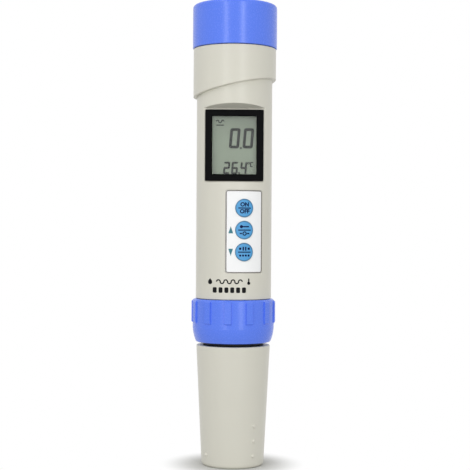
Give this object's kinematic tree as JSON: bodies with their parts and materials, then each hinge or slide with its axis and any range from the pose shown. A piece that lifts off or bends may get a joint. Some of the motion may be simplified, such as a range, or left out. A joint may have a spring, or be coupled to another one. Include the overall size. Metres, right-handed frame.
{
  "type": "tds meter",
  "caption": "Pen-type water conductivity and temperature meter with a front display, membrane keys, screwed battery cap, ribbed sensor collar and push-on probe cap.",
  "frame": {"origin": "middle of the sensor cap's flat foot, on the pen's axis", "axes": "+Z along the pen's axis towards the battery cap; the display faces -Y"},
  "size_m": [0.034, 0.034, 0.185],
  "materials": {
    "casing_grey": "fine satin, warm light grey",
    "trim_blue": "satin mid blue",
    "seal_rubber": "smooth black",
    "sled_plastic": "matte dark grey",
    "cell_steel": "bright steel",
    "contact_nickel": "nickel plated",
    "board_green": "green solder mask",
    "chip_black": "matte black",
    "can_steel": "bright can",
    "connector_cream": "matte cream",
    "pin_gold": "gold plated",
    "holder_white": "matte white",
    "display_grey_green": "grey-green display glass with a polariser",
    "strip_rubber": "striped silicone",
    "screw_steel": "zinc plated",
    "frame_black": "satin black",
    "window_clear": "clear",
    "circuit_film": "amber film",
    "film_white": "printed white film",
    "key_blue": "light blue",
    "probe_black": "matte black",
    "electrode_metal": "polished"
  },
  "bodies": {
    "housing": {"housing": "casing_grey", "battery_contacts": "contact_nickel", "circuit_board": "board_green", "microcontroller": "chip_black", "amplifier_chip": "chip_black", "crystal": "can_steel", "keypad_connector": "connector_cream", "sensor_socket": "connector_cream", "lcd_holder": "holder_white", "lcd_glass": "display_grey_green", "elastomer_strips": "strip_rubber", "holder_screws": "screw_steel", "bezel": "frame_black", "display_window": "window_clear", "keypad_circuit": "circuit_film", "keypad_spacer": "film_white", "keypad_overlay": "film_white", "snap_domes": "contact_nickel"},
    "battery_sled": {"battery_carrier": "sled_plastic", "battery_cell_1": "cell_steel", "battery_cell_2": "cell_steel", "battery_cell_3": "cell_steel", "carrier_spring": "contact_nickel", "carrier_strap": "contact_nickel"},
    "battery_cap_seal": {"battery_cap_oring": "seal_rubber"},
    "battery_cap": {"battery_cap": "trim_blue"},
    "sensor_module": {"sensor_body": "probe_black", "electrodes": "electrode_metal", "thermistor": "electrode_metal", "plug_pins": "pin_gold", "cap_seal_oring": "seal_rubber", "sensor_seal_oring": "seal_rubber"},
    "collar": {"collar": "trim_blue"},
    "sensor_cap": {"sensor_cap": "casing_grey"},
    "upper_key": {"upper_key": "key_blue"},
    "middle_key": {"middle_key": "key_blue"},
    "lower_key": {"lower_key": "key_blue"}
  },
  "joints": [
    {"name": "battery_carrier_pull", "type": "slide", "parent": "housing", "child": "battery_sled", "axis": [0, 0, 1], "range_m": [0, 0.034]},
    {"name": "battery_cap_advance", "type": "slide", "parent": "battery_sled", "child": "battery_cap_seal", "axis": [0, 0, 1], "range_m": [0, 0.006]},
    {"name": "battery_cap_turn", "type": "hinge", "parent": "battery_cap_seal", "child": "battery_cap", "pos_m": [0, 0, 0.176], "axis": [0, 0, 1], "range_deg": [0, 1080]},
    {"name": "sensor_advance", "type": "slide", "parent": "housing", "child": "sensor_module", "axis": [0, 0, -1], "range_m": [0, 0.006]},
    {"name": "collar_turn", "type": "hinge", "parent": "sensor_module", "child": "collar", "pos_m": [0, 0, 0.058], "axis": [0, 0, -1], "range_deg": [0, 1080]},
    {"name": "sensor_cap_pull", "type": "slide", "parent": "sensor_module", "child": "sensor_cap", "axis": [0, 0, -1], "range_m": [0, 0.05]},
    {"name": "upper_key_press", "type": "slide", "parent": "housing", "child": "upper_key", "axis": [-0.2756, 0.9613, 0], "range_m": [0, 0.00028], "stiffness_N_per_m": 1500},
    {"name": "middle_key_press", "type": "slide", "parent": "housing", "child": "middle_key", "axis": [-0.2756, 0.9613, 0], "range_m": [0, 0.00028], "stiffness_N_per_m": 1500},
    {"name": "lower_key_press", "type": "slide", "parent": "housing", "child": "lower_key", "axis": [-0.2756, 0.9613, 0], "range_m": [0, 0.00028], "stiffness_N_per_m": 1500}
  ],
  "couplings": [
    {"joint": "battery_cap_advance", "follows": "battery_cap_turn", "m_per_rad": 0.00031831},
    {"joint": "sensor_advance", "follows": "collar_turn", "m_per_rad": 0.00031831}
  ]
}
